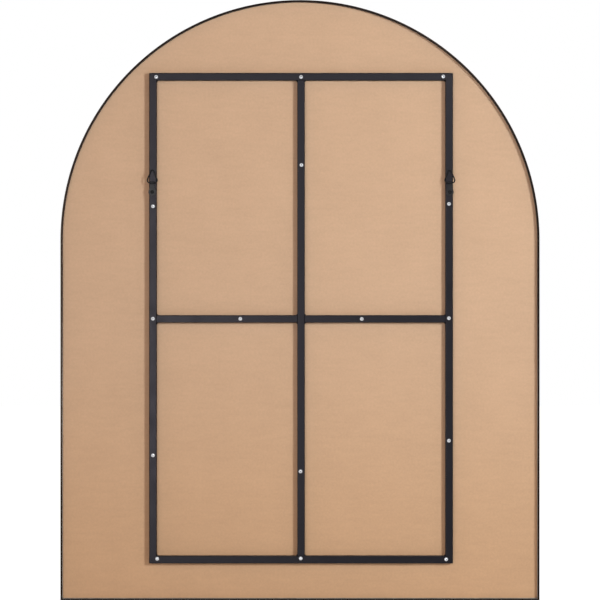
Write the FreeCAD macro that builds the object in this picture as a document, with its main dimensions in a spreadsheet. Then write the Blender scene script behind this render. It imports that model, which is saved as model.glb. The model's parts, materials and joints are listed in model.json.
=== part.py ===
import FreeCAD, Part
import math
import os
import re
from dataclasses import dataclass

import Sketcher

# An arched wall mirror: a mitred metal frame round silvered glass, a board at its back, a screwed grid
# of square tube on the board, and two rings that fold in straps on the grid. The front faces -Y, the back
# +Y, and +Z is up. The bottom edge lies at z = 0, with x = 0 in the middle of the width and y = 0 in the
# middle of the depth. Left and right are as seen from behind, so left is +X.

SIZES = {
    # Overall outline, with a half-round top as wide as the mirror
    "mirror_width": 957.5,
    "mirror_height": 1200.0,
    # Frame rail section, measured inwards from its outer face and back from its front face
    "frame_depth": 25.0,
    "frame_wall": 1.2,
    "lip_width": 6.0,
    "lip_thickness": 1.6,
    "rim_width": 3.6,
    "channel_flange": 1.2,
    "hook_thickness": 0.8,
    "hook_reach": 2.6,
    "edge_break": 0.4,
    # Glass, foam tape and board, stacked behind the lip
    "glass_thickness": 4.0,
    "glass_clearance": 1.0,
    "tape_thickness": 1.0,
    "tape_width": 24.0,
    "tape_margin": 40.0,
    "board_thickness": 6.0,
    "board_clearance": 0.8,
    "seat_clearance": 0.3,
    # Bent keys in the rear channel at the bottom corners, and their set screws
    "key_thickness": 1.5,
    "key_leg": 35.0,
    "key_clearance": 0.2,
    "set_screw_diameter": 3.0,
    "set_screw_inset": 22.0,
    "socket_width": 1.5,
    "socket_depth": 1.2,
    # Square tube grid
    "tube_size": 15.0,
    "tube_wall": 1.0,
    "tube_corner": 1.5,
    "grid_width": 607.0,
    "grid_height": 980.0,
    "grid_bottom": 74.0,
    "grid_shift": -2.1,
    "cross_rail_height": 562.5,
    "weld_leg": 2.4,
    # Pan-head screws that hold the grid to the board
    "screw_diameter": 3.9,
    "screw_length": 19.0,
    "screw_point": 3.4,
    "screw_head": 7.5,
    "screw_head_height": 2.8,
    "screw_head_side": 1.2,
    "recess_span": 4.2,
    "recess_width": 0.9,
    "recess_depth": 1.5,
    "screw_clearance": 0.3,
    "thread_clearance": 0.05,
    "pilot_extra": 0.5,
    # Folded straps, their rings and the screws that hold them
    "hanger_height": 834.0,
    "hanger_outset": 1.1,
    "ring_wire": 2.5,
    "ring_width": 22.0,
    "ring_height": 27.8,
    "ring_corner_radius": 5.5,
    "ring_apex_radius": 3.0,
    "ring_rest_gap": 0.3,
    "eye_clearance": 0.1,
    "eye_side_clearance": 0.25,
    "strap_thickness": 1.2,
    "strap_leg_gap": 0.1,
    "strap_neck_length": 6.0,
    "strap_lobe": 15.0,
    "strap_drop": 18.2,
    "strap_screw_diameter": 4.2,
    "strap_screw_length": 12.5,
    "strap_screw_point": 3.6,
    "strap_screw_head": 7.0,
    "strap_screw_head_height": 2.3,
    "strap_screw_head_side": 0.9,
    "strap_recess_span": 4.0,
    "strap_recess_depth": 1.2,
    # How far a cut runs past what it cuts
    "overrun": 2.0,
}

# Places and sizes that follow from the sizes above. Depths count back from the front face of the frame.
PLACES = {
    "half_width": "mirror_width / 2",
    "springing": "mirror_height - half_width",
    "tape_front": "lip_thickness + glass_thickness",
    "board_front": "tape_front + tape_thickness",
    "tube_front": "board_front + board_thickness",
    "tube_back": "tube_front + tube_size",
    "channel_front": "tube_front + seat_clearance",
    "channel_floor": "channel_front + channel_flange",
    "channel_roof": "frame_depth - channel_flange",
    "eye_radius": "ring_wire / 2 + eye_clearance + strap_thickness",
    "eye_depth": "tube_back + eye_radius",
    "front": "-(tube_back + 2 * eye_radius) / 2",
    "glass_half_width": "half_width - frame_wall - glass_clearance",
    "glass_bottom": "frame_wall + glass_clearance",
    "board_half_width": "half_width - frame_wall - board_clearance",
    "board_bottom": "frame_wall + board_clearance",
    "key_inset": "rim_width - hook_thickness - key_thickness",
    "grid_left": "grid_shift + grid_width / 2",
    "grid_right": "grid_shift - grid_width / 2",
    "grid_top": "grid_bottom + grid_height",
    "mullion_length": "grid_height - 2 * tube_size",
    "cross_length": "(grid_width - 3 * tube_size) / 2",
    "ring_rise": "ring_height - ring_wire",
    "ring_base_half": "(ring_width - ring_wire) / 2 - ring_corner_radius",
    "strap_neck": "2 * (ring_base_half - eye_side_clearance)",
}

# Where the five tape strips stand, as shares of the glass's half width from its middle
TAPE_SHARES = (-0.8, -0.4, 0.0, 0.4, 0.8)


@dataclass(frozen=True)
class Tube:
    """A tube of the grid: local z is along it, and local x across it in the mirror's plane."""

    label: str
    x: str
    z: str
    length: str
    upright: bool = True
    outer_side: int = 0  # sign of the local x side left long by its mitres, or 0 for square ends
    screw_shares: tuple = ()  # each screw's place along the tube, and its share of its size across


TUBES = (
    Tube("grid_stile_left", "grid_left - tube_size / 2", "grid_bottom", "grid_height", outer_side=1,
         screw_shares=(("0.2205 * grid_height", -0.02), ("0.499 * grid_height", -0.01),
                       ("0.728 * grid_height", -0.02))),
    Tube("grid_stile_right", "grid_right + tube_size / 2", "grid_bottom", "grid_height", outer_side=-1,
         screw_shares=(("0.2505 * grid_height", 0.05), ("0.5 * grid_height", 0.05),
                       ("0.733 * grid_height", 0.04))),
    Tube("grid_mullion", "grid_shift", "grid_bottom + tube_size", "mullion_length",
         screw_shares=(("0.178 * mullion_length", 0.07), ("0.822 * mullion_length", -0.05))),
    Tube("grid_top_rail", "grid_right", "grid_top - tube_size / 2", "grid_width",
         upright=False, outer_side=-1,
         screw_shares=(("1.3 * tube_size", -0.01), ("0.5 * grid_width", 0.05),
                       ("grid_width - 0.95 * tube_size", 0.05))),
    Tube("grid_bottom_rail", "grid_right", "grid_bottom + tube_size / 2", "grid_width",
         upright=False, outer_side=1,
         screw_shares=(("0.92 * tube_size", -0.07), ("0.501 * grid_width", -0.19),
                       ("grid_width - 1.08 * tube_size", -0.14))),
    Tube("grid_cross_rail_left", "grid_shift + tube_size / 2", "cross_rail_height", "cross_length",
         upright=False, screw_shares=(("0.405 * cross_length", -0.02),)),
    Tube("grid_cross_rail_right", "grid_right + tube_size", "cross_rail_height", "cross_length",
         upright=False, screw_shares=(("0.595 * cross_length", 0.0),)),
)

# Each side's name, the sign of its x, and the tube that carries its hanger
SIDES = (("left", 1, TUBES[0]), ("right", -1, TUBES[1]))

doc = FreeCAD.newDocument("arched_wall_mirror")
sheet = doc.addObject("Spreadsheet::Sheet", "sizes")
for row, (size_name, size_value) in enumerate(SIZES.items(), start=1):
    sheet.set(f"A{row}", size_name)
    sheet.set(f"B{row}", str(size_value))
    sheet.setAlias(f"B{row}", size_name)
doc.recompute()

sub_parts = []


# Expressions

def bind(text):
    """Return an expression with each size as its cell of the sheet and each place written out."""

    def cell(word):
        name = word.group()
        if name in PLACES:
            return f"({bind(PLACES[name])})"
        return f"sizes.{name}" if name in SIZES else name

    return re.sub(r"[a-z_]+", cell, text)


def value(text):
    """Return what an expression of sizes is worth in millimetres or degrees."""
    result = sheet.evalExpression(bind(text))
    return getattr(result, "Value", result)


def place(thing, x, y, z, axis=(0, 0, 1), turn=0):
    """Turn an object about an axis through its own origin, and bind that origin to three expressions."""
    thing.Placement = FreeCAD.Placement(FreeCAD.Vector(), FreeCAD.Rotation(FreeCAD.Vector(*axis), turn))
    for direction, text in zip("xyz", (x, y, z)):
        thing.setExpression(f"Placement.Base.{direction}", bind(text))


# Bodies and sketches

def new_body(label, x="0", y="front", z="0", kept=True, axis=(0, 0, 1), turn=0):
    """Add a body at a place, and list it as a sub-part if it is kept."""
    body = doc.addObject("PartDesign::Body", label)
    body.Label = label
    place(body, x, y, z, axis, turn)
    if kept:
        sub_parts.append(body)
    return body


def new_sketch(body, plane, offset="0"):
    """Add a sketch to a body, on one of its origin planes or moved off it along the plane's normal."""
    sketch = body.newObject("Sketcher::SketchObject", f"{body.Name}_sketch")
    support = next(feature for feature in body.Origin.OriginFeatures if feature.Role == plane)
    sketch.AttachmentSupport = [(support, "")]
    sketch.MapMode = "FlatFace"
    sketch.setExpression("AttachmentOffset.Base.z", bind(offset))
    return sketch


def constrain(sketch, text, *parts):
    """Add a dimension to a sketch and bind it to an expression."""
    index = sketch.addConstraint(Sketcher.Constraint(*parts, value(text)))
    sketch.setExpression(f"Constraints[{index}]", bind(text))


def pin(sketch, shape, point, x, y):
    """Hold a point of a sketch at two expressions from the sketch's origin."""
    constrain(sketch, x, "DistanceX", -1, 1, shape, point)
    constrain(sketch, y, "DistanceY", -1, 1, shape, point)


def point_at(x, y):
    """Return the sketch point that two expressions give."""
    return FreeCAD.Vector(value(x), value(y), 0)


def arc(centre, radius, start, end):
    """Return an arc about a point, from one angle in radians anticlockwise to another."""
    return Part.ArcOfCircle(Part.Circle(centre, FreeCAD.Vector(0, 0, 1), radius), start, end)


def polygon(sketch, corners):
    """Draw a closed outline through corners given as pairs of expressions."""
    points = [point_at(x, y) for x, y in corners]
    first = sketch.GeometryCount
    for start, end in zip(points, points[1:] + points[:1]):
        sketch.addGeometry(Part.LineSegment(start, end))
    for index, (x, y) in enumerate(corners):
        before = first + (index - 1) % len(corners)
        sketch.addConstraint(Sketcher.Constraint("Coincident", before, 2, first + index, 1))
        pin(sketch, first + index, 1, x, y)


def circle(sketch, x, y, radius):
    """Draw a circle about a point, with its centre and radius bound to expressions."""
    index = sketch.addGeometry(Part.Circle(point_at(x, y), FreeCAD.Vector(0, 0, 1), value(radius)))
    pin(sketch, index, 3, x, y)
    constrain(sketch, radius, "Radius", index)


def arched_outline(sketch, half_width, bottom):
    """Draw a straight-sided outline with a half-round top about the arch's centre."""
    wide, low, centre = value(half_width), value(bottom), value("springing")
    corners = [FreeCAD.Vector(*xy) for xy in ((-wide, low), (wide, low), (wide, centre), (-wide, centre))]
    sketch.addGeometry(Part.LineSegment(corners[0], corners[1]))
    sketch.addGeometry(Part.LineSegment(corners[1], corners[2]))
    sketch.addGeometry(arc(FreeCAD.Vector(0, centre), wide, 0, math.pi))
    sketch.addGeometry(Part.LineSegment(corners[3], corners[0]))
    for ends in ((0, 2, 1, 1), (3, 2, 0, 1)):
        sketch.addConstraint(Sketcher.Constraint("Coincident", *ends))
    for ends in ((1, 2, 2, 1), (2, 2, 3, 1)):
        sketch.addConstraint(Sketcher.Constraint("Tangent", *ends))
    sketch.addConstraint(Sketcher.Constraint("Horizontal", 0))
    sketch.addConstraint(Sketcher.Constraint("Vertical", 1))
    sketch.addConstraint(Sketcher.Constraint("Vertical", 3))
    pin(sketch, 2, 3, "0", "springing")
    constrain(sketch, half_width, "Radius", 2)
    constrain(sketch, bottom, "DistanceY", -1, 1, 0, 1)


def rounded_square(sketch, size, radius):
    """Draw a square about the sketch's origin with rounded corners."""
    first = sketch.GeometryCount
    half, bend = value(f"({size}) / 2"), value(radius)
    for quarter in range(4):
        turn = FreeCAD.Rotation(FreeCAD.Vector(0, 0, 1), 90 * quarter)
        ends = [turn.multVec(FreeCAD.Vector(x, -half)) for x in (bend - half, half - bend)]
        sketch.addGeometry(Part.LineSegment(*ends))
        centre = turn.multVec(FreeCAD.Vector(half - bend, bend - half))
        start = math.pi / 2 * (quarter - 1)
        sketch.addGeometry(arc(centre, bend, start, start + math.pi / 2))
    for quarter in range(4):
        line, bow = first + 2 * quarter, first + 2 * quarter + 1
        after = first + (2 * quarter + 2) % 8
        sketch.addConstraint(Sketcher.Constraint("Tangent", line, 2, bow, 1))
        sketch.addConstraint(Sketcher.Constraint("Tangent", bow, 2, after, 1))
        sketch.addConstraint(Sketcher.Constraint("Vertical" if quarter % 2 else "Horizontal", line))
        constrain(sketch, radius, "Radius", bow)
    constrain(sketch, f"-({size}) / 2", "DistanceY", -1, 1, first, 1)
    constrain(sketch, f"({size}) / 2", "DistanceX", -1, 1, first + 2, 1)
    constrain(sketch, f"({size}) / 2", "DistanceY", -1, 1, first + 4, 1)
    constrain(sketch, f"-({size}) / 2", "DistanceX", -1, 1, first + 6, 1)


# Features

def pad(body, sketch, length, backwards=False, both_ways=False):
    """Raise a sketch by a length, along its normal, against it or half each way."""
    feature = body.newObject("PartDesign::Pad", f"{body.Name}_pad")
    feature.Profile = sketch
    feature.setExpression("Length", bind(length))
    feature.Reversed = backwards
    feature.SideType = "Symmetric" if both_ways else "One side"
    body.Tip = feature
    doc.recompute()


def pocket(body, sketch, depth=None, along=False):
    """Cut a sketch right through a body, or to a depth against the sketch's normal, or along it."""
    feature = body.newObject("PartDesign::Pocket", f"{body.Name}_pocket")
    feature.Profile = sketch
    if depth is None:
        feature.Type = "ThroughAll"
        feature.SideType = "Symmetric"
    else:
        feature.setExpression("Length", bind(depth))
        feature.Reversed = along
    before = body.Shape.Volume
    body.Tip = feature
    doc.recompute()
    if not body.Shape.Volume < before:
        raise RuntimeError(f"{feature.Name} cuts nothing")


def revolve(body, sketch, angle, backwards=False):
    """Turn a sketch about its own vertical axis."""
    feature = body.newObject("PartDesign::Revolution", f"{body.Name}_revolution")
    feature.Profile = sketch
    feature.ReferenceAxis = (sketch, ["V_Axis"])
    feature.Angle = angle
    feature.Reversed = backwards
    body.Tip = feature
    doc.recompute()


def group(label, template, places):
    """Join copies of a template body, each at its place and turn, as one sub-part of separate solids."""
    copies = []
    for spot in places:
        copy = doc.addObject("App::Link", f"{label}_copy")
        copy.LinkedObject = template
        place(copy, *spot)
        copies.append(copy)
    compound = doc.addObject("Part::Compound", label)
    compound.Label = label
    compound.Links = copies
    sub_parts.append(compound)


# Frame: one bent rail over the arch and both sides, and a straight rail across the bottom

RAIL_SECTION = (
    ("0", "edge_break"),
    ("edge_break", "0"),
    ("lip_width - edge_break", "0"),
    ("lip_width", "edge_break"),
    ("lip_width", "lip_thickness"),
    ("frame_wall", "lip_thickness"),
    ("frame_wall", "channel_front"),
    ("rim_width", "channel_front"),
    ("rim_width", "channel_floor + hook_reach"),
    ("rim_width - hook_thickness", "channel_floor + hook_reach"),
    ("rim_width - hook_thickness", "channel_floor"),
    ("frame_wall", "channel_floor"),
    ("frame_wall", "channel_roof"),
    ("rim_width - hook_thickness", "channel_roof"),
    ("rim_width - hook_thickness", "channel_roof - hook_reach"),
    ("rim_width", "channel_roof - hook_reach"),
    ("rim_width", "frame_depth - edge_break"),
    ("rim_width - edge_break", "frame_depth"),
    ("edge_break", "frame_depth"),
    ("0", "frame_depth - edge_break"),
)


def leg_section(side):
    """Return the rail section on one side, as points of a horizontal plane."""
    return [(f"{side} * (half_width - ({inwards}))", back) for inwards, back in RAIL_SECTION]


def arch_rail():
    """Build the bent rail, with its feet mitred for the bottom rail."""
    body = new_body("frame_arch_rail")
    for _, side, _ in SIDES:
        foot = new_sketch(body, "XY_Plane")
        polygon(foot, leg_section(side))
        pad(body, foot, "springing")
    bow = new_sketch(body, "XY_Plane", "springing")
    polygon(bow, leg_section(1))
    revolve(body, bow, 180, backwards=True)
    for _, side, _ in SIDES:
        mitre = new_sketch(body, "XZ_Plane")
        polygon(mitre, (
            (f"{side} * (half_width + overrun)", "-overrun"),
            (f"{side} * (half_width - lip_width - overrun)", "lip_width + overrun"),
            (f"{side} * (half_width - lip_width - overrun)", "-overrun"),
        ))
        pocket(body, mitre)


def bottom_rail():
    """Build the straight rail along the bottom edge, with mitred ends."""
    body = new_body("frame_bottom_rail")
    section = new_sketch(body, "YZ_Plane")
    polygon(section, [(back, inwards) for inwards, back in RAIL_SECTION])
    pad(body, section, "mirror_width", both_ways=True)
    for _, side, _ in SIDES:
        mitre = new_sketch(body, "XZ_Plane")
        polygon(mitre, (
            (f"{side} * (half_width + overrun)", "-overrun"),
            (f"{side} * (half_width - lip_width - overrun)", "lip_width + overrun"),
            (f"{side} * (half_width + overrun)", "lip_width + overrun"),
        ))
        pocket(body, mitre)


def corner_key(name, side):
    """Build a bent key, its legs against the hooks of the rear channel, with a tapped hole in each leg."""
    body = new_body(f"corner_key_{name}")
    bend = new_sketch(body, "XZ_Plane", "-(channel_floor + key_clearance)")
    spots = (("key_inset", "key_inset"), ("key_inset", "key_inset + key_leg"),
             ("key_inset + key_thickness", "key_inset + key_leg"),
             ("key_inset + key_thickness", "key_inset + key_thickness"),
             ("key_inset + key_leg", "key_inset + key_thickness"), ("key_inset + key_leg", "key_inset"))
    polygon(bend, [(f"{side} * (half_width - ({inwards}))", up) for inwards, up in spots])
    pad(body, bend, "channel_roof - channel_floor - 2 * key_clearance", backwards=True)
    radius = "set_screw_diameter / 2 + thread_clearance"
    upright_hole = new_sketch(body, "YZ_Plane")
    circle(upright_hole, "(channel_floor + channel_roof) / 2", "set_screw_inset", radius)
    pocket(body, upright_hole)
    level_hole = new_sketch(body, "XY_Plane")
    circle(level_hole, f"{side} * (half_width - set_screw_inset)",
           "(channel_floor + channel_roof) / 2", radius)
    pocket(body, level_hole)


def corner_key_screws():
    """Build the set screws, each from the rail's wall to the face of its hooks, with a hexagon socket."""
    body = new_body("set_screw_template", y="0", kept=False)
    outline = new_sketch(body, "XY_Plane")
    circle(outline, "0", "0", "set_screw_diameter / 2")
    pad(body, outline, "rim_width - frame_wall")
    socket = new_sketch(body, "XY_Plane", "rim_width - frame_wall")
    corner_radius = "socket_width / sqrt(3)"
    polygon(socket, [(f"{corner_radius} * cos({60 * turn})", f"{corner_radius} * sin({60 * turn})")
                     for turn in range(6)])
    pocket(body, socket, "socket_depth")
    depth = "front + (channel_floor + channel_roof) / 2"
    places = []
    for _, side, _ in SIDES:
        places.append((f"{side} * (half_width - frame_wall)", depth, "set_screw_inset",
                       (0, 1, 0), -90 * side))
        places.append((f"{side} * (half_width - set_screw_inset)", depth, "frame_wall"))
    group("corner_key_screws", body, places)


# Glass, tape and board, held between the lip and the rear channel

def mirror_glass():
    """Build the sheet of glass that lies against the lip."""
    body = new_body("mirror_glass")
    outline = new_sketch(body, "XZ_Plane", "-lip_thickness")
    arched_outline(outline, "glass_half_width", "glass_bottom")
    pad(body, outline, "glass_thickness", backwards=True)


def bonding_tapes():
    """Build upright strips of foam tape that reach up to the arch, a margin short of the glass's edge."""
    for number, share in enumerate(TAPE_SHARES, start=1):
        strip = doc.addObject("Part::Box", f"bonding_tape_{number}")
        strip.Label = f"bonding_tape_{number}"
        strip.setExpression("Length", bind("tape_width"))
        strip.setExpression("Width", bind("tape_thickness"))
        rise = f"glass_half_width * sqrt(1 - ({share})^2)"
        strip.setExpression("Height", bind(f"springing + {rise} - glass_bottom - 2 * tape_margin"))
        place(strip, f"{share} * glass_half_width - tape_width / 2", "front + tape_front",
              "glass_bottom + tape_margin")
        sub_parts.append(strip)


def screw_spots():
    """Return the x and z expressions of each grid screw."""
    spots = []
    for tube in TUBES:
        for along, across in tube.screw_shares:
            aside = f"({across}) * tube_size"
            if tube.upright:
                spots.append((f"{tube.x} + {aside}", f"{tube.z} + {along}"))
            else:
                spots.append((f"{tube.x} + {along}", f"{tube.z} - {aside}"))
    return spots


def back_board():
    """Build the board, with a blind pilot hole for the point of each grid screw."""
    body = new_body("back_board")
    outline = new_sketch(body, "XZ_Plane", "-board_front")
    arched_outline(outline, "board_half_width", "board_bottom")
    pad(body, outline, "board_thickness", backwards=True)
    pilots = new_sketch(body, "XZ_Plane", "-tube_front")
    for x, z in screw_spots():
        circle(pilots, x, z, "screw_diameter / 2 + thread_clearance")
    pocket(body, pilots, "screw_length - tube_size + pilot_extra", along=True)


# Grid of square tube

def grid_tube(tube):
    """Build a tube with its mitres and screw holes, and lay it along its line behind the board."""
    axis, turn = ((0, 0, 1), 0) if tube.upright else ((0, 1, 0), 90)
    body = new_body(tube.label, tube.x, "front + tube_front + tube_size / 2", tube.z, axis=axis, turn=turn)
    section = new_sketch(body, "XY_Plane")
    rounded_square(section, "tube_size", "tube_corner")
    rounded_square(section, "tube_size - 2 * tube_wall", "tube_corner - tube_wall")
    pad(body, section, tube.length)
    if tube.outer_side:
        long_side = f"{tube.outer_side} * (tube_size / 2 + overrun)"
        short_side = f"{-tube.outer_side} * (tube_size / 2 + overrun)"
        for start, inwards in (("0", 1), (tube.length, -1)):
            mitre = new_sketch(body, "XZ_Plane")
            outside = f"{start} - {inwards} * overrun"
            polygon(mitre, ((long_side, outside),
                            (short_side, f"{start} + {inwards} * (tube_size + overrun)"),
                            (short_side, outside)))
            pocket(body, mitre)
    holes = new_sketch(body, "XZ_Plane")
    for along, across in tube.screw_shares:
        circle(holes, f"({across}) * tube_size", along, "screw_diameter / 2 + screw_clearance")
    pocket(body, holes)
    return body


def grid_tubes():
    """Build every tube, and tap the rear wall of each outer stile for its hanger's screw."""
    bodies = {tube.label: grid_tube(tube) for tube in TUBES}
    for _, side, tube in SIDES:
        body = bodies[tube.label]
        tapping = new_sketch(body, "XZ_Plane", "-(tube_size / 2)")
        circle(tapping, f"{side} * hanger_outset", "hanger_height - strap_drop - grid_bottom",
               "strap_screw_diameter / 2 + thread_clearance")
        pocket(body, tapping, "tube_wall + overrun", along=True)


def weld_beads():
    """Build a small fillet weld in each inner corner of the four windows of the grid."""
    body = new_body("weld_template", y="0", kept=False)
    section = new_sketch(body, "XZ_Plane")
    polygon(section, (("0", "0"), ("weld_leg", "0"), ("0", "weld_leg")))
    pad(body, section, "tube_size - 2 * tube_corner", both_ways=True)
    depth = "front + tube_front + tube_size / 2"
    columns = (("grid_right + tube_size", "grid_shift - tube_size / 2"),
               ("grid_shift + tube_size / 2", "grid_left - tube_size"))
    rows = (("grid_bottom + tube_size", "cross_rail_height - tube_size / 2"),
            ("cross_rail_height + tube_size / 2", "grid_top - tube_size"))
    places = []
    for x_low, x_high in columns:
        for z_low, z_high in rows:
            corners = ((x_low, z_low), (x_low, z_high), (x_high, z_high), (x_high, z_low))
            for quarter, (x, z) in enumerate(corners):
                places.append((x, depth, z, (0, 1, 0), 90 * quarter))
    group("grid_weld_beads", body, places)


# Screws

def pan_screw(body, family, recess_span, recess_depth):
    """Turn a pan-head screw, its head up and the head's seat at the origin, and cut its cross recess."""
    rise = f"({family}_head_height - {family}_head_side)"
    dome = f"(({family}_head / 2)^2 + {rise}^2) / (2 * {rise})"
    shank = f"{family}_diameter / 2"
    corners = (("0", f"-{family}_length"), (shank, f"{family}_point - {family}_length"), (shank, "0"),
               (f"{family}_head / 2", "0"), (f"{family}_head / 2", f"{family}_head_side"))
    top = ("0", f"{family}_head_height")
    points = [point_at(x, z) for x, z in corners + (top,)]
    dome_centre = point_at("0", f"{family}_head_height - {dome}")
    profile = new_sketch(body, "XZ_Plane")
    for start, end in zip(points[:4], points[1:5]):
        profile.addGeometry(Part.LineSegment(start, end))
    edge = points[4] - dome_centre
    profile.addGeometry(arc(dome_centre, edge.Length, math.atan2(edge.y, edge.x), math.pi / 2))
    profile.addGeometry(Part.LineSegment(points[5], points[0]))
    for line in range(6):
        profile.addConstraint(Sketcher.Constraint("Coincident", line, 2, (line + 1) % 6, 1))
    for line, (x, z) in enumerate(corners):
        pin(profile, line, 1, x, z)
    pin(profile, 4, 3, "0", f"{family}_head_height - {dome}")
    profile.addConstraint(Sketcher.Constraint("PointOnObject", 5, 1, -2))
    revolve(body, profile, 360)
    recess = new_sketch(body, "XY_Plane", f"{family}_head_height")
    long, short = f"{recess_span} / 2", "recess_width / 2"
    arm = ((long, f"-{short}"), (long, short), (short, short))
    cross = []
    for quarter in range(4):
        for x, y in arm:
            turned = ((x, y), (f"-({y})", x), (f"-({x})", f"-({y})"), (y, f"-({x})"))
            cross.append(turned[quarter])
    polygon(recess, cross)
    pocket(body, recess, recess_depth)


def grid_screws():
    """Build the screws that pass through the tubes into the board."""
    body = new_body("grid_screw_template", y="0", kept=False)
    pan_screw(body, "screw", "recess_span", "recess_depth")
    group("grid_screws", body, [(x, "front + tube_back", z, (1, 0, 0), -90) for x, z in screw_spots()])


# Hangers: a folded strap whose eye carries a bent ring, screwed to each outer stile

def strap_outline(sketch):
    """Draw the face of a strap's leg: a straight neck below the eye that widens to a round lobe."""
    neck, low = value("strap_neck / 2"), -value("strap_neck_length")
    lobe, centre = value("strap_lobe / 2"), FreeCAD.Vector(0, -value("strap_drop"))
    shoulder = FreeCAD.Vector(neck, low) - centre
    touch = math.atan2(shoulder.y, shoulder.x) - math.acos(lobe / shoulder.Length)
    right = centre + FreeCAD.Vector(math.cos(touch), math.sin(touch)) * lobe
    left = FreeCAD.Vector(-right.x, right.y)
    outline = (FreeCAD.Vector(-neck, 0), FreeCAD.Vector(neck, 0), FreeCAD.Vector(neck, low), right)
    for start, end in zip(outline, outline[1:]):
        sketch.addGeometry(Part.LineSegment(start, end))
    sketch.addGeometry(arc(centre, lobe, math.pi - touch, 2 * math.pi + touch))
    sketch.addGeometry(Part.LineSegment(left, FreeCAD.Vector(-neck, low)))
    sketch.addGeometry(Part.LineSegment(FreeCAD.Vector(-neck, low), outline[0]))
    for ends in ((0, 2, 1, 1), (1, 2, 2, 1), (4, 2, 5, 1), (5, 2, 0, 1)):
        sketch.addConstraint(Sketcher.Constraint("Coincident", *ends))
    sketch.addConstraint(Sketcher.Constraint("Tangent", 2, 2, 3, 2))
    sketch.addConstraint(Sketcher.Constraint("Tangent", 3, 1, 4, 1))
    pin(sketch, 0, 1, "-strap_neck / 2", "0")
    pin(sketch, 1, 1, "strap_neck / 2", "0")
    pin(sketch, 2, 1, "strap_neck / 2", "-strap_neck_length")
    pin(sketch, 5, 1, "-strap_neck / 2", "-strap_neck_length")
    pin(sketch, 3, 3, "0", "-strap_drop")
    constrain(sketch, "strap_lobe / 2", "Radius", 3)


def hanger_strap(name, x):
    """Build a strap folded round its ring: two legs, one on the other, and the eye round the wire."""
    body = new_body(f"hanger_strap_{name}", x, "front + eye_depth", "hanger_height")
    for seat in ("eye_radius", "eye_radius - strap_thickness - strap_leg_gap"):
        leg = new_sketch(body, "XZ_Plane", seat)
        strap_outline(leg)
        pad(body, leg, "strap_thickness", backwards=True)
        if seat == "eye_radius":
            fold = new_sketch(body, "YZ_Plane")
            circle(fold, "0", "0", "eye_radius")
            pad(body, fold, "strap_neck", both_ways=True)
    bore = new_sketch(body, "YZ_Plane")
    circle(bore, "0", "0", "eye_radius - strap_thickness")
    pocket(body, bore)
    hole = new_sketch(body, "XZ_Plane")
    circle(hole, "0", "-strap_drop", "strap_screw_diameter / 2 + screw_clearance")
    pocket(body, hole)


def ring_path(sketch):
    """Draw the ring's wire line: a base through the eye, two bent corners, two sides and the apex."""
    base, bend = value("ring_base_half"), value("ring_corner_radius")
    tip, top = value("ring_apex_radius"), value("ring_rise - ring_apex_radius")
    reach = math.hypot(base, top - bend)
    lean = math.atan2(base, top - bend) + math.asin((bend - tip) / reach)
    normal = FreeCAD.Vector(math.cos(lean), math.sin(lean))
    corner, apex = FreeCAD.Vector(base, bend), FreeCAD.Vector(0, top)
    low, high = corner + normal * bend, apex + normal * tip
    mirrored = [FreeCAD.Vector(-spot.x, spot.y) for spot in (low, high, corner)]
    sketch.addGeometry(Part.LineSegment(FreeCAD.Vector(), FreeCAD.Vector(base, 0)))
    sketch.addGeometry(arc(corner, bend, -math.pi / 2, lean))
    sketch.addGeometry(Part.LineSegment(low, high))
    sketch.addGeometry(arc(apex, tip, lean, math.pi - lean))
    sketch.addGeometry(Part.LineSegment(mirrored[1], mirrored[0]))
    sketch.addGeometry(arc(mirrored[2], bend, math.pi - lean, 3 * math.pi / 2))
    sketch.addGeometry(Part.LineSegment(FreeCAD.Vector(-base, 0), FreeCAD.Vector()))
    for line in range(6):
        sketch.addConstraint(Sketcher.Constraint("Tangent", line, 2, line + 1, 1))
    sketch.addConstraint(Sketcher.Constraint("Coincident", 0, 1, -1, 1))
    sketch.addConstraint(Sketcher.Constraint("Coincident", 6, 2, -1, 1))
    sketch.addConstraint(Sketcher.Constraint("Horizontal", 0))
    sketch.addConstraint(Sketcher.Constraint("Horizontal", 6))
    for bow in (1, 5):
        constrain(sketch, "ring_corner_radius", "Radius", bow)
    constrain(sketch, "ring_apex_radius", "Radius", 3)
    constrain(sketch, "ring_base_half", "DistanceX", -1, 1, 1, 3)
    constrain(sketch, "-ring_base_half", "DistanceX", -1, 1, 5, 3)
    pin(sketch, 3, 3, "0", "ring_rise - ring_apex_radius")


def hanger_ring(name, x):
    """Build a ring about the eye's axis, leaning on its own so that its apex rests just off the tube."""
    body = new_body(f"hanger_ring_{name}", x, "front + eye_depth", "hanger_height", axis=(1, 0, 0), turn=1)
    body.setExpression("Placement.Rotation.Angle",
                       bind("asin((eye_radius - ring_wire / 2 - ring_rest_gap) / ring_rise)"))
    path = new_sketch(body, "XZ_Plane")
    ring_path(path)
    wire = new_sketch(body, "YZ_Plane")
    circle(wire, "0", "0", "ring_wire / 2")
    doc.recompute()
    sweep = body.newObject("PartDesign::AdditivePipe", f"{body.Name}_pipe")
    sweep.Profile = wire
    sweep.Spine = (path, [f"Edge{edge}" for edge in range(1, path.GeometryCount + 1)])
    body.Tip = sweep
    doc.recompute()


def hanger_screw(name, x):
    """Build the screw that holds a strap to the rear wall of its stile."""
    head_seat = "front + tube_back + 2 * strap_thickness + strap_leg_gap"
    body = new_body(f"hanger_screw_{name}", x, head_seat, "hanger_height - strap_drop",
                    axis=(1, 0, 0), turn=-90)
    pan_screw(body, "strap_screw", "strap_recess_span", "strap_recess_depth")


def hangers():
    """Build both hangers, each a little outside the middle of its stile."""
    for name, side, tube in SIDES:
        x = f"{tube.x} + {side} * hanger_outset"
        hanger_strap(name, x)
        hanger_ring(name, x)
        hanger_screw(name, x)


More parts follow.
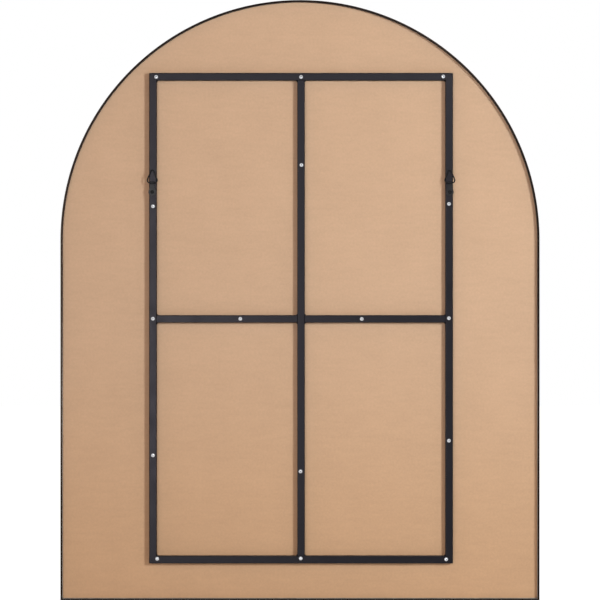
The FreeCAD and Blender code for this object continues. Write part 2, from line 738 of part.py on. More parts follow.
arch_rail()
bottom_rail()
for side_name, side_sign, _ in SIDES:
    corner_key(side_name, side_sign)
corner_key_screws()
mirror_glass()
bonding_tapes()
back_board()
grid_tubes()
weld_beads()
grid_screws()
hangers()
doc.recompute()

for item in doc.Objects:
    if "Invalid" in item.State or "Error" in item.State:
        raise RuntimeError(f"{item.Name} failed: {item.State}")
for item in sub_parts:
    if item.Shape.isNull() or not item.Shape.isValid():
        raise RuntimeError(f"{item.Label} has no valid shape")
os.makedirs("parts", exist_ok=True)
for item in sub_parts:
    item.Shape.exportStep(f"parts/{item.Label}.step")
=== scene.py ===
"""An arched wall mirror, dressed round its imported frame.

The mirror stands on its bottom edge and is seen from behind: a tan fibreboard back, a black welded grid of
square tube screwed to it, and two small rings on straps that the mirror hangs by. The front is at -Y and the
back at +Y. Left and right are as seen from behind, so left is at +X. The sizes of the object's pieces are in
millimetres and those of the studio in metres, and every mesh is made in metres.
"""

from __future__ import annotations

import json
import logging
import math
import random
from collections.abc import Mapping, Sequence
from dataclasses import dataclass
from enum import Enum
from typing import Any

import bmesh
import bpy
from mathutils import Matrix, Vector

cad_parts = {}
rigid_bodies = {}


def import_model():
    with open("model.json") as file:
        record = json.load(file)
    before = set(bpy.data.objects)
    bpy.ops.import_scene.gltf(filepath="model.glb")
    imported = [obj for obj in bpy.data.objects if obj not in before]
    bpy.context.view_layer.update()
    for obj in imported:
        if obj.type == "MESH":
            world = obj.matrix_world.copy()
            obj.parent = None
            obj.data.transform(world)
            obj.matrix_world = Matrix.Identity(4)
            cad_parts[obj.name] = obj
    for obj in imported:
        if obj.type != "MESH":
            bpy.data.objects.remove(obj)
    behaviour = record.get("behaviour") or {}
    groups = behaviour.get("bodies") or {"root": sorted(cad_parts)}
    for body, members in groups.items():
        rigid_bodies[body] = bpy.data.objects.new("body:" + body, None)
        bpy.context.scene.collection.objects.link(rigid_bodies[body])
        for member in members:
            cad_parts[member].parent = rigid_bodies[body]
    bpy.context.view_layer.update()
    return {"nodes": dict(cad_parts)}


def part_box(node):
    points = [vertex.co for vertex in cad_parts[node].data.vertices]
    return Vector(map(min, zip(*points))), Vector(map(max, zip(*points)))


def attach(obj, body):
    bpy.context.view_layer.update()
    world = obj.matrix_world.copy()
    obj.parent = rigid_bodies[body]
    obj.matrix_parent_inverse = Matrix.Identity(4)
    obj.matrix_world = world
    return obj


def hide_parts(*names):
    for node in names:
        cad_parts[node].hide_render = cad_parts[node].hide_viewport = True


MM = 0.001
MIRROR_BODY = "mirror"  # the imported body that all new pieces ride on; the moving rings keep their solids
SMOOTH_ANGLE = math.radians(35)

Ring = list[Vector]
Pair = tuple[float, float]
Triple = tuple[float, float, float]

WHITE: Triple = (1.0, 1.0, 1.0)

# The sRGB curve: a straight foot below its knee and a power above it
SRGB_KNEE = 0.04045
SRGB_FOOT = 12.92
SRGB_OFFSET = 0.055
SRGB_POWER = 2.4

# The span that most values of a noise lie in, and the span that nearly all of them do
MOST_NOISE: Pair = (0.3, 0.7)
ALL_NOISE: Pair = (0.25, 0.75)

WAVE_RADIANS = 20  # how many radians a wave texture of scale one runs through in a metre

log = logging.getLogger("arched_wall_mirror")


class Slot(Enum):
    """The record's material slots that the new pieces take their finishes from."""

    FRAME_COAT = "frame_coat"
    TUBE_COAT = "tube_coat"
    MIRROR_GLASS = "mirror_glass"
    SCREW_ZINC = "screw_zinc"
    HANGER_BLACK = "hanger_black"


# Colours and nodes


def linear(code: str) -> tuple[float, float, float, float]:
    """Turn an sRGB hex colour into the linear colour that a shader takes.

    Args:
        code: Six hex digits after a hash.

    Returns:
        Red, green, blue and an alpha of one.
    """
    shares = [int(code[start:start + 2], 16) / 255 for start in (1, 3, 5)]
    red, green, blue = (
        share / SRGB_FOOT if share <= SRGB_KNEE
        else ((share + SRGB_OFFSET) / (1 + SRGB_OFFSET)) ** SRGB_POWER
        for share in shares
    )
    return red, green, blue, 1.0


def add_node(
    tree: bpy.types.NodeTree,
    kind: str,
    settings: Mapping[str | int, Any] | None = None,
    links: Mapping[str | int, bpy.types.NodeSocket] | None = None,
) -> bpy.types.Node:
    """Add a node with its settings and links.

    Args:
        tree: The node tree that gets the node.
        kind: The node's type, such as ShaderNodeTexNoise.
        settings: A property's name, or an input's name or number, and its value.
        links: An input's name or number, and the output that feeds it.

    Returns:
        The new node.
    """
    node = tree.nodes.new(kind)
    for key, value in (settings or {}).items():
        if isinstance(key, str) and hasattr(node, key):
            setattr(node, key, value)
        else:
            node.inputs[key].default_value = value
    for key, source in (links or {}).items():
        tree.links.new(source, node.inputs[key])
    return node


# Finishes


@dataclass(frozen=True)
class Finish:
    """What every finish has: a name, a colour and the plain answers of its surface to light."""

    name: str
    colour: str
    roughness: float
    metallic: float = 0.0
    specular: float = 0.5
    ior: float = 1.5

    def start(self) -> tuple[bpy.types.Material, bpy.types.NodeTree, bpy.types.Node, bpy.types.NodeSocket]:
        """Make the material with its shader.

        Returns:
            The material, its tree, its Principled shader and the object's own coordinates in metres.
        """
        material = bpy.data.materials.new(self.name)
        material.use_nodes = True
        material.diffuse_color = linear(self.colour)
        tree = material.node_tree
        tree.nodes.clear()
        shader = add_node(tree, "ShaderNodeBsdfPrincipled", {
            "Base Color": linear(self.colour),
            "Roughness": self.roughness,
            "Metallic": self.metallic,
            "Specular IOR Level": self.specular,
            "IOR": self.ior,
        })
        add_node(tree, "ShaderNodeOutputMaterial", links={"Surface": shader.outputs["BSDF"]})
        coordinates = add_node(tree, "ShaderNodeTexCoord")
        return material, tree, shader, coordinates.outputs["Object"]


@dataclass(frozen=True)
class RawFibreboard(Finish):
    """Medium-density fibreboard with its pressed and sanded face left bare.

    The eye gets a flat tan with soft clouds where the press left the fibres closer, faint level streaks from
    the sanding belt, and fine pale and dark fibre flecks. It has almost no shine. Towards the foot of the
    sheet its colour is painted darker and redder, as painted shade.
    """

    cloud_mm: float = 95.0
    cloud_levels: Pair = (0.98, 1.02)
    streak_mm: float = 7.0
    streak_stretch: float = 5.0
    streak_levels: Pair = (0.976, 1.024)
    fleck_mm: float = 4.2  # the real flecks are near 1 mm, too fine to show, so they are drawn this coarse
    fleck_levels: Pair = (0.965, 1.035)
    fibre_mm: float = 0.7
    relief_mm: float = 0.05
    # the darker, redder colour painted at the sheet's foot as painted shade, and how high that shade reaches
    foot_shade_colour: str = "#CBA27E"
    foot_shade_reach_mm: float = 620.0

    def build(self) -> bpy.types.Material:
        """Make the material.

        Returns:
            The material.
        """
        material, tree, shader, place = self.start()
        clouds = add_node(tree, "ShaderNodeTexNoise", {"Scale": 1 / (self.cloud_mm * MM), "Detail": 3.0},
                          {"Vector": place})
        drawn_out = add_node(tree, "ShaderNodeMapping", {"Scale": (1 / self.streak_stretch, 1.0, 1.0)},
                             {"Vector": place})
        streaks = add_node(tree, "ShaderNodeTexNoise", {"Scale": 1 / (self.streak_mm * MM), "Detail": 3.0},
                           {"Vector": drawn_out.outputs[0]})
        flecks = add_node(tree, "ShaderNodeTexNoise",
                          {"Scale": 1 / (self.fleck_mm * MM), "Detail": 1.0, "Roughness": 0.5},
                          {"Vector": place})
        cloud_level, streak_level, fleck_level = (
            add_node(tree, "ShaderNodeMapRange",
                     {"From Min": span[0], "From Max": span[1], "To Min": levels[0], "To Max": levels[1]},
                     {"Value": noise.outputs["Fac"]})
            for noise, span, levels in ((clouds, MOST_NOISE, self.cloud_levels),
                                        (streaks, ALL_NOISE, self.streak_levels),
                                        (flecks, ALL_NOISE, self.fleck_levels))
        )
        two = add_node(tree, "ShaderNodeMath", {"operation": "MULTIPLY"},
                       {0: cloud_level.outputs[0], 1: streak_level.outputs[0]})
        level = add_node(tree, "ShaderNodeMath", {"operation": "MULTIPLY"},
                         {0: two.outputs[0], 1: fleck_level.outputs[0]})
        axes = add_node(tree, "ShaderNodeSeparateXYZ", links={0: place})
        # painted shade: the colour darkens and reddens towards the foot of the sheet
        painted_foot_shade = add_node(tree, "ShaderNodeMapRange",
                        {"interpolation_type": "SMOOTHSTEP", "From Min": self.foot_shade_reach_mm * MM,
                         "From Max": 0.0},
                        {"Value": axes.outputs["Z"]})
        sheet = add_node(tree, "ShaderNodeMix",
                         {"data_type": "RGBA", 6: linear(self.colour), 7: linear(self.foot_shade_colour)},
                         {0: painted_foot_shade.outputs[0]})
        colour = add_node(tree, "ShaderNodeVectorMath", {"operation": "SCALE"},
                          {0: sheet.outputs[2], "Scale": level.outputs[0]})
        tree.links.new(colour.outputs[0], shader.inputs["Base Color"])
        fibres = add_node(tree, "ShaderNodeTexNoise",
                          {"Scale": 1 / (self.fibre_mm * MM), "Detail": 4.0, "Roughness": 0.7},
                          {"Vector": drawn_out.outputs[0]})
        relief = add_node(tree, "ShaderNodeBump", {"Strength": 0.2, "Distance": self.relief_mm * MM},
                          {"Height": fibres.outputs["Fac"]})
        tree.links.new(relief.outputs[0], shader.inputs["Normal"])
        return material


@dataclass(frozen=True)
class PowderCoat(Finish):
    """Polyester powder coat, sprayed dry and baked on metal.

    The eye gets an even near-black with a soft satin glow, the slight orange peel of melted powder, and
    edges where the coat has thinned and been rubbed paler.
    """

    peel_mm: float = 1.6
    relief_mm: float = 0.012
    patch_mm: float = 28.0
    rubbed: str = "#3A393D"
    edge_mm: float = 0.5
    edge_match: Pair = (0.995, 0.9)  # how nearly bevel and face agree, where wear starts and is full
    worn_patches: Pair = (0.45, 0.7)  # how strong a patch is, where wear starts and is full
    wear: float = 0.55
    gloss_spread: float = 0.05
    sheen: str = "#FFFFFF"

    def build(self) -> bpy.types.Material:
        """Make the material.

        Returns:
            The material.
        """
        material, tree, shader, place = self.start()
        shader.inputs["Specular Tint"].default_value = linear(self.sheen)
        rounded = add_node(tree, "ShaderNodeBevel", {"samples": 6, "Radius": self.edge_mm * MM})
        true = add_node(tree, "ShaderNodeNewGeometry")
        match = add_node(tree, "ShaderNodeVectorMath", {"operation": "DOT_PRODUCT"},
                         {0: rounded.outputs[0], 1: true.outputs["True Normal"]})
        edge = add_node(tree, "ShaderNodeMapRange",
                        {"From Min": self.edge_match[0], "From Max": self.edge_match[1],
                         "To Max": self.wear},
                        {"Value": match.outputs["Value"]})
        patches = add_node(tree, "ShaderNodeTexNoise", {"Scale": 1 / (self.patch_mm * MM), "Detail": 4.0},
                           {"Vector": place})
        chance = add_node(tree, "ShaderNodeMapRange",
                          {"From Min": self.worn_patches[0], "From Max": self.worn_patches[1]},
                          {"Value": patches.outputs["Fac"]})
        wear = add_node(tree, "ShaderNodeMath", {"operation": "MULTIPLY"},
                        {0: edge.outputs[0], 1: chance.outputs[0]})
        colour = add_node(tree, "ShaderNodeMix",
                          {"data_type": "RGBA", 6: linear(self.colour), 7: linear(self.rubbed)},
                          {0: wear.outputs[0]})
        tree.links.new(colour.outputs[2], shader.inputs["Base Color"])
        gloss = add_node(tree, "ShaderNodeMapRange",
                         {"From Min": MOST_NOISE[0], "From Max": MOST_NOISE[1],
                          "To Min": self.roughness - self.gloss_spread,
                          "To Max": self.roughness + self.gloss_spread},
                         {"Value": patches.outputs["Fac"]})
        tree.links.new(gloss.outputs[0], shader.inputs["Roughness"])
        peel = add_node(tree, "ShaderNodeTexNoise", {"Scale": 1 / (self.peel_mm * MM), "Detail": 1.5},
                        {"Vector": place})
        relief = add_node(tree, "ShaderNodeBump", {"Strength": 0.6, "Distance": self.relief_mm * MM},
                          {"Height": peel.outputs["Fac"], "Normal": rounded.outputs[0]})
        tree.links.new(relief.outputs[0], shader.inputs["Normal"])
        return material


@dataclass(frozen=True)
class GreyPrimer(Finish):
    """Grey wash primer, sprayed thin on aluminium, with the dust of the black coat that drifted in over it.

    The eye gets a dull grey that is cloudy and specked darker, and that picks up the tan of the board beside
    it. Towards the arch the grey is painted dark, as painted shade.
    """

    cloud_mm: float = 18.0
    dust_mm: float = 0.9
    dust: str = "#8A8580"
    dust_patches: Pair = (0.15, 0.4)  # how strong a patch is, where dust starts and where it is full
    dust_cover: float = 0.7
    # the dark grey painted towards the arch as painted shade, and the heights where it starts and where it
    # is full
    arch_shade: str = "#3A3633"
    unshaded_below_mm: float = 400.0
    full_shade_above_mm: float = 620.0
    relief_mm: float = 0.015

    def build(self) -> bpy.types.Material:
        """Make the material.

        Returns:
            The material.
        """
        material, tree, shader, place = self.start()
        clouds = add_node(tree, "ShaderNodeTexNoise", {"Scale": 1 / (self.cloud_mm * MM), "Detail": 3.0},
                          {"Vector": place})
        specks = add_node(tree, "ShaderNodeTexNoise", {"Scale": 1 / (self.dust_mm * MM), "Detail": 2.0},
                          {"Vector": place})
        both = add_node(tree, "ShaderNodeMath", {"operation": "MULTIPLY"},
                        {0: clouds.outputs["Fac"], 1: specks.outputs["Fac"]})
        dusted = add_node(tree, "ShaderNodeMapRange",
                          {"From Min": self.dust_patches[0], "From Max": self.dust_patches[1],
                           "To Max": self.dust_cover},
                          {"Value": both.outputs[0]})
        grey = add_node(tree, "ShaderNodeMix",
                        {"data_type": "RGBA", 6: linear(self.colour), 7: linear(self.dust)},
                        {0: dusted.outputs[0]})
        axes = add_node(tree, "ShaderNodeSeparateXYZ", links={0: place})
        # painted shade: the grey darkens by height towards the arch
        arch_shade_share = add_node(tree, "ShaderNodeMapRange",
                           {"interpolation_type": "SMOOTHSTEP", "From Min": self.unshaded_below_mm * MM,
                            "From Max": self.full_shade_above_mm * MM},
                           {"Value": axes.outputs["Z"]})
        colour = add_node(tree, "ShaderNodeMix", {"data_type": "RGBA", 7: linear(self.arch_shade)},
                          {0: arch_shade_share.outputs[0], 6: grey.outputs[2]})
        tree.links.new(colour.outputs[2], shader.inputs["Base Color"])
        relief = add_node(tree, "ShaderNodeBump", {"Strength": 0.5, "Distance": self.relief_mm * MM},
                          {"Height": specks.outputs["Fac"]})
        tree.links.new(relief.outputs[0], shader.inputs["Normal"])
        return material


@dataclass(frozen=True)
class PlatedSteel(Finish):
    """Cold-headed steel, barrel-plated with zinc or blackened.

    The eye gets a metal whose recess and other sheltered spots are painted darker, as painted shade, with
    fine rings round its axis from the forming die and small tumbling marks.
    """

    radian_mm: float = 0.35  # one radian of the die's rings, which are therefore 2.2 mm apart
    mark_mm: float = 0.5
    dull_marks: Pair = (0.58, 0.75)  # how strong a mark is, where it starts to dull and where it dulls most
    dull_share: float = 0.5
    grime: str = "#5C5C5E"
    # the dark colour painted into recesses and sheltered spots as painted shade, and how far that shade
    # reaches
    recess_shade: str = "#1E1B19"
    recess_shade_mm: float = 2.2
    recess_shade_openness: Pair = (0.35, 0.85)  # how open a spot is, where its painted recess shade is full and where it ends
    gloss_gain: float = 0.06
    gloss_loss: float = 0.1
    relief_mm: float = 0.01

    def build(self) -> bpy.types.Material:
        """Make the material.

        Returns:
            The material.
        """
        material, tree, shader, place = self.start()
        marks = add_node(tree, "ShaderNodeTexNoise",
                         {"Scale": 1 / (self.mark_mm * MM), "Detail": 4.0, "Roughness": 0.65},
                         {"Vector": place})
        dull = add_node(tree, "ShaderNodeMapRange",
                        {"From Min": self.dull_marks[0], "From Max": self.dull_marks[1],
                         "To Max": self.dull_share},
                        {"Value": marks.outputs["Fac"]})
        open_metal = add_node(tree, "ShaderNodeMix",
                              {"data_type": "RGBA", 6: linear(self.colour), 7: linear(self.grime)},
                              {0: dull.outputs[0]})
        # painted shade: the base colour darkens in recesses found by ambient occlusion
        painted_recess_ao = add_node(tree, "ShaderNodeAmbientOcclusion",
                           {"samples": 8, "only_local": True, "Distance": self.recess_shade_mm * MM})
        unshaded_share = add_node(tree, "ShaderNodeMapRange",
                            {"From Min": self.recess_shade_openness[0], "From Max": self.recess_shade_openness[1]},
                            {"Value": painted_recess_ao.outputs["AO"]})
        colour = add_node(tree, "ShaderNodeMix", {"data_type": "RGBA", 6: linear(self.recess_shade)},
                          {0: unshaded_share.outputs[0], 7: open_metal.outputs[2]})
        tree.links.new(colour.outputs[2], shader.inputs["Base Color"])
        gloss = add_node(tree, "ShaderNodeMapRange",
                         {"From Min": MOST_NOISE[0], "From Max": MOST_NOISE[1],
                          "To Min": self.roughness - self.gloss_gain,
                          "To Max": self.roughness + self.gloss_loss},
                         {"Value": marks.outputs["Fac"]})
        tree.links.new(gloss.outputs[0], shader.inputs["Roughness"])
        rings = add_node(tree, "ShaderNodeTexWave",
                         {"wave_type": "RINGS", "rings_direction": "Z",
                          "Scale": 1 / (self.radian_mm * MM) / WAVE_RADIANS, "Distortion": 0.6},
                         {"Vector": place})
        relief = add_node(tree, "ShaderNodeBump", {"Strength": 0.3, "Distance": self.relief_mm * MM},
                          {"Height": rings.outputs["Fac"]})
        tree.links.new(relief.outputs[0], shader.inputs["Normal"])
        return material


@dataclass(frozen=True)
class FloatGlass(Finish):
    """Clear soda-lime float glass, cut and seamed.

    The eye gets a clean, very slightly green sheet with a faint roll in it, so that what it shows bends a
    hair.
    """

    roll_mm: float = 180.0
    relief_mm: float = 0.02

    def build(self) -> bpy.types.Material:
        """Make the material.

        Returns:
            The material.
        """
        material, tree, shader, place = self.start()
        shader.inputs["Transmission Weight"].default_value = 1.0
        roll = add_node(tree, "ShaderNodeTexNoise", {"Scale": 1 / (self.roll_mm * MM), "Detail": 1.0},
                        {"Vector": place})
        relief = add_node(tree, "ShaderNodeBump", {"Strength": 0.1, "Distance": self.relief_mm * MM},
                          {"Height": roll.outputs["Fac"]})
        tree.links.new(relief.outputs[0], shader.inputs["Normal"])
        return material


@dataclass(frozen=True)
class Silvering(Finish):
    """Silver laid wet on the back of the glass.

    The eye gets a near-perfect mirror. A trace of haze in patches keeps it from looking drawn.
    """

    haze_mm: float = 60.0
    haze_patches: Pair = (0.4, 0.8)  # how strong a patch is, where haze starts and where it is full

    def build(self) -> bpy.types.Material:
        """Make the material.

        Returns:
            The material.
        """
        material, tree, shader, place = self.start()
        haze = add_node(tree, "ShaderNodeTexNoise", {"Scale": 1 / (self.haze_mm * MM), "Detail": 3.0},
                        {"Vector": place})
        gloss = add_node(tree, "ShaderNodeMapRange",
                         {"From Min": self.haze_patches[0], "From Max": self.haze_patches[1],
                          "To Max": self.roughness},
                         {"Value": haze.outputs["Fac"]})
        tree.links.new(gloss.outputs[0], shader.inputs["Roughness"])
        return material


@dataclass(frozen=True)
class FoamTape(Finish):
    """Closed-cell polyethylene foam, extruded and slit into tape.

    The eye gets a soft chalky white with fine pores.
    """

    cell_mm: float = 0.6
    relief_mm: float = 0.15

    def build(self) -> bpy.types.Material:
        """Make the material.

        Returns:
            The material.
        """
        material, tree, shader, place = self.start()
        cells = add_node(tree, "ShaderNodeTexVoronoi", {"Scale": 1 / (self.cell_mm * MM)}, {"Vector": place})
        relief = add_node(tree, "ShaderNodeBump", {"Strength": 0.5, "Distance": self.relief_mm * MM},
                          {"Height": cells.outputs["Distance"]})
        tree.links.new(relief.outputs[0], shader.inputs["Normal"])
        return material


# Meshes


def finish_mesh(name: str, mesh: bmesh.types.BMesh) -> bpy.types.Mesh:
    """Turn a bmesh into a smooth-shaded mesh, its faces outwards and its edges sharp above SMOOTH_ANGLE.

    Args:
        name: The mesh's name.
        mesh: The bmesh, which is freed.

    Returns:
        The new mesh.
    """
    bmesh.ops.recalc_face_normals(mesh, faces=mesh.faces)
    data = bpy.data.meshes.new(name)
    mesh.to_mesh(data)
    mesh.free()
    data.shade_smooth()
    data.set_sharp_from_angle(angle=SMOOTH_ANGLE)
    return data


def loft(mesh: bmesh.types.BMesh, rings: Sequence[Ring]) -> None:
    """Skin a row of closed rings that have the same number of points, and close both ends with a face.

    Args:
        mesh: The bmesh that gets the skin.
        rings: The rings in order along the piece.
    """
    rows = [[mesh.verts.new(point) for point in ring] for ring in rings]
    count = len(rows[0])
    for here, after in zip(rows, rows[1:]):
        for index in range(count):
            following = (index + 1) % count
            mesh.faces.new((here[index], here[following], after[following], after[index]))
    mesh.faces.new(list(reversed(rows[0])))
    mesh.faces.new(rows[-1])


def rounded_corner(before: Pair, corner: Pair, after: Pair, radius: float, steps: int) -> list[Pair]:
    """Round a right-angled corner of an outline.

    Args:
        before: The point before the corner.
        corner: The corner.
        after: The point after it.
        radius: The radius of the round.
        steps: How many straight steps the round has.

    Returns:
        The points of the round in order.
    """
    here = Vector(corner)
    to_before = (Vector(before) - here).normalized() * radius
    to_after = (Vector(after) - here).normalized() * radius
    centre = here + to_before + to_after
    points = []
    for step in range(steps + 1):
        angle = math.pi / 2 * step / steps
        point = centre - to_after * math.cos(angle) - to_before * math.sin(angle)
        points.append((point.x, point.y))
    return points


def shrunk(outline: Sequence[Pair], amount: float) -> list[Pair]:
    """Move every side of a closed outline inwards by an amount.

    Args:
        outline: The outline's points, anticlockwise.
        amount: How far its sides move.

    Returns:
        The points of the smaller outline.
    """
    points = []
    for index, spot in enumerate(outline):
        here = Vector(spot)
        arriving = (here - Vector(outline[index - 1])).normalized()
        leaving = (Vector(outline[(index + 1) % len(outline)]) - here).normalized()
        inwards = Vector((-arriving.y - leaving.y, arriving.x + leaving.x)).normalized()
        moved = here + inwards * (amount / inwards.dot(Vector((-arriving.y, arriving.x))))
        points.append((moved.x, moved.y))
    return points


def cut(data: bpy.types.Mesh, cutter: bpy.types.Mesh) -> bpy.types.Mesh:
    """Cut one mesh out of another.

    Args:
        data: The mesh that is cut.
        cutter: The mesh that cuts it.

    Returns:
        What is left. Both meshes are removed.
    """
    scene_objects = bpy.context.scene.collection.objects
    block = bpy.data.objects.new("cut_block", data)
    tool = bpy.data.objects.new("cut_tool", cutter)
    for item in (block, tool):
        scene_objects.link(item)
    taking = block.modifiers.new("cut", "BOOLEAN")
    taking.operation = "DIFFERENCE"
    taking.solver = "EXACT"
    taking.object = tool
    bpy.context.view_layer.update()
    result = bpy.data.meshes.new_from_object(block.evaluated_get(bpy.context.evaluated_depsgraph_get()))
    for item, used in ((block, data), (tool, cutter)):
        bpy.data.objects.remove(item)
        bpy.data.meshes.remove(used)
    return result


def add_piece(
    name: str,
    data: bpy.types.Mesh,
    material: bpy.types.Material,
    replaced: Sequence[str] = (),
    place: Matrix | None = None,
) -> None:
    """Put a mesh in the scene as a piece of the object.

    Args:
        name: The piece's name.
        data: Its mesh.
        material: Its finish.
        replaced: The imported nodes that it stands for.
        place: Where it goes, or None where its mesh is in place already.
    """
    piece = bpy.data.objects.new(name, data)
    if not data.materials:
        data.materials.append(material)
    bpy.context.scene.collection.objects.link(piece)
    if place is not None:
        piece.matrix_world = place
    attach(piece, MIRROR_BODY)
    if replaced:
        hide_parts(*replaced)
    log.info("piece %s: %d faces", name, len(data.polygons))


def dress(nodes: Mapping[str, bpy.types.Object], names: Sequence[str], material: bpy.types.Material) -> None:
    """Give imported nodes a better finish.

    Args:
        nodes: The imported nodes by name.
        names: The nodes to dress.
        material: Their finish.
    """
    for name in names:
        for slot in nodes[name].material_slots:
            slot.link = "OBJECT"
            slot.material = material
        log.info("node %s: %s", name, material.name)


# The frame, the glass and the back


@dataclass
class FrameRails:
    """Two rails of one section round the mirror: one bent over the arch and sides, and one across the foot.

    The section is a wall with a lip in front of the glass and a hooked channel behind the board. Its outer
    corners are rounded as drawn metal is, and its mitres are eased so that the joint shows as a fine line.
    """

    wall: float = 1.2
    lip_width: float = 6.0
    lip_thickness: float = 1.6
    rim_width: float = 3.6
    channel_front: float = 12.9
    flange: float = 1.2
    hook_thickness: float = 0.8
    hook_reach: float = 2.6
    corner_radius: float = 0.5
    corner_steps: int = 4
    seam_ease: float = 0.15
    arch_steps: int = 144
    keys: tuple[str, ...] = ("corner_key_left", "corner_key_right", "corner_key_screws")

    def section(self, depth: float) -> list[Pair]:
        """Return the section as points inwards and back from its front outer corner, in millimetres.

        Args:
            depth: The rail's depth from front to back.

        Returns:
            The outline, anticlockwise where inwards is to the right and back is up.
        """
        floor = self.channel_front + self.flange
        roof = depth - self.flange
        inner = self.rim_width - self.hook_thickness
        corners = [
            (0.0, 0.0),
            (self.lip_width, 0.0),
            (self.lip_width, self.lip_thickness),
            (self.wall, self.lip_thickness),
            (self.wall, self.channel_front),
            (self.rim_width, self.channel_front),
            (self.rim_width, floor + self.hook_reach),
            (inner, floor + self.hook_reach),
            (inner, floor),
            (self.wall, floor),
            (self.wall, roof),
            (inner, roof),
            (inner, roof - self.hook_reach),
            (self.rim_width, roof - self.hook_reach),
            (self.rim_width, depth),
            (0.0, depth),
        ]
        rounded = (*corners[:2], *corners[-2:])
        outline: list[Pair] = []
        for index, corner in enumerate(corners):
            if corner not in rounded:
                outline.append(corner)
                continue
            before, after = corners[index - 1], corners[(index + 1) % len(corners)]
            outline += rounded_corner(before, corner, after, self.corner_radius, self.corner_steps)
        return outline

    def arch_rings(self, low: Vector, high: Vector) -> list[Ring]:
        """Return the bent rail's rings from its left foot over the arch to its right foot.

        Args:
            low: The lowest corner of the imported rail's box.
            high: Its highest corner.

        Returns:
            The rings, in metres.
        """
        half_width = (high.x - low.x) / 2
        springing = high.z - half_width
        section = self.section((high.y - low.y) / MM)
        eased = shrunk(section, self.seam_ease)

        def foot(side: int, outline: Sequence[Pair], lift: float) -> Ring:
            """Return a mitred ring, each point as high as it is far inwards."""
            return [Vector((side * (half_width - inwards * MM), low.y + back * MM,
                            low.z + (inwards + lift) * MM)) for inwards, back in outline]

        def bow(angle: float) -> Ring:
            """Return a ring of the arch at an angle from the left springing."""
            return [Vector(((half_width - inwards * MM) * math.cos(angle), low.y + back * MM,
                            springing + (half_width - inwards * MM) * math.sin(angle)))
                    for inwards, back in section]

        arch = [bow(math.pi * step / self.arch_steps) for step in range(self.arch_steps + 1)]
        return [foot(1, eased, 0.0), foot(1, section, self.seam_ease), *arch,
                foot(-1, section, self.seam_ease), foot(-1, eased, 0.0)]

    def bottom_rings(self, low: Vector, high: Vector) -> list[Ring]:
        """Return the straight rail's rings from right to left, with both mitres.

        Args:
            low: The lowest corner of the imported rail's box.
            high: Its highest corner.

        Returns:
            The rings, in metres.
        """
        section = self.section((high.y - low.y) / MM)
        eased = shrunk(section, self.seam_ease)
        rings = []
        for side, outline, lift in ((-1, eased, 0.0), (-1, section, self.seam_ease),
                                    (1, section, self.seam_ease), (1, eased, 0.0)):
            rings.append([Vector((side * (high.x - (inwards + lift) * MM), low.y + back * MM,
                                  low.z + inwards * MM)) for inwards, back in outline])
        return rings

    def build(self, coat: bpy.types.Material, primer: bpy.types.Material, steel: bpy.types.Material,
              nodes: Mapping[str, bpy.types.Object]) -> None:
        """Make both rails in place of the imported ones, and dress the keys that join them.

        Args:
            coat: The finish of the faces that show from outside.
            primer: The finish of the faces inside, from behind the lip to the rear edge.
            steel: The finish of the corner keys and their set screws.
            nodes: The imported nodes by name.
        """
        round_points = 2 * (self.corner_steps + 1)  # of the two rounded corners at each end of the section
        for node, rings in (("frame_arch_rail", self.arch_rings(*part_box("frame_arch_rail"))),
                            ("frame_bottom_rail", self.bottom_rings(*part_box("frame_bottom_rail")))):
            mesh = bmesh.new()
            loft(mesh, rings)
            sides = len(rings[0])
            for number, face in enumerate(mesh.faces):
                if len(face.verts) == 4 and round_points <= number % sides < sides - round_points:
                    face.material_index = 1
            data = finish_mesh(node, mesh)
            for material in (coat, primer):
                data.materials.append(material)
            add_piece(f"{node}_drawn", data, coat, [node])
        dress(nodes, self.keys, steel)


@dataclass
class MirrorPane:
    """The silver on the back of the glass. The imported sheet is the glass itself."""

    inset: float = 0.6  # from the glass's edge
    thickness: float = 0.1
    depth_in_glass: float = 0.05  # from the glass's back face
    arch_steps: int = 144

    def build(self, glass: bpy.types.Material, silver: bpy.types.Material,
              nodes: Mapping[str, bpy.types.Object]) -> None:
        """Dress the sheet as clear glass and lay the silver just inside its back face.

        Args:
            glass: The sheet's finish.
            silver: The finish of the silver.
            nodes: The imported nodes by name.
        """
        dress(nodes, ["mirror_glass"], glass)
        low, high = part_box("mirror_glass")
        half_width = (high.x - low.x) / 2
        springing = high.z - half_width
        reach = half_width - self.inset * MM
        outline = [(reach, low.z + self.inset * MM)]
        for step in range(self.arch_steps + 1):
            angle = math.pi * step / self.arch_steps
            outline.append((reach * math.cos(angle), springing + reach * math.sin(angle)))
        outline.append((-reach, low.z + self.inset * MM))
        back = high.y - self.depth_in_glass * MM
        mesh = bmesh.new()
        loft(mesh, [[Vector((x, y, z)) for x, z in outline] for y in (back - self.thickness * MM, back)])
        add_piece("mirror_silvering", finish_mesh("mirror_silvering", mesh), silver)


@dataclass
class BackPanel:
    """The fibreboard panel behind the glass, and the foam tapes that bond the two."""

    tapes: int = 5

    def build(self, board: bpy.types.Material, foam: bpy.types.Material,
              nodes: Mapping[str, bpy.types.Object]) -> None:
        """Dress the panel and its tapes.

        Args:
            board: The panel's finish.
            foam: The finish of the tapes.
            nodes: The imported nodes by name.
        """
        dress(nodes, ["back_board"], board)
        dress(nodes, [f"bonding_tape_{number}" for number in range(1, self.tapes + 1)], foam)


# The grid


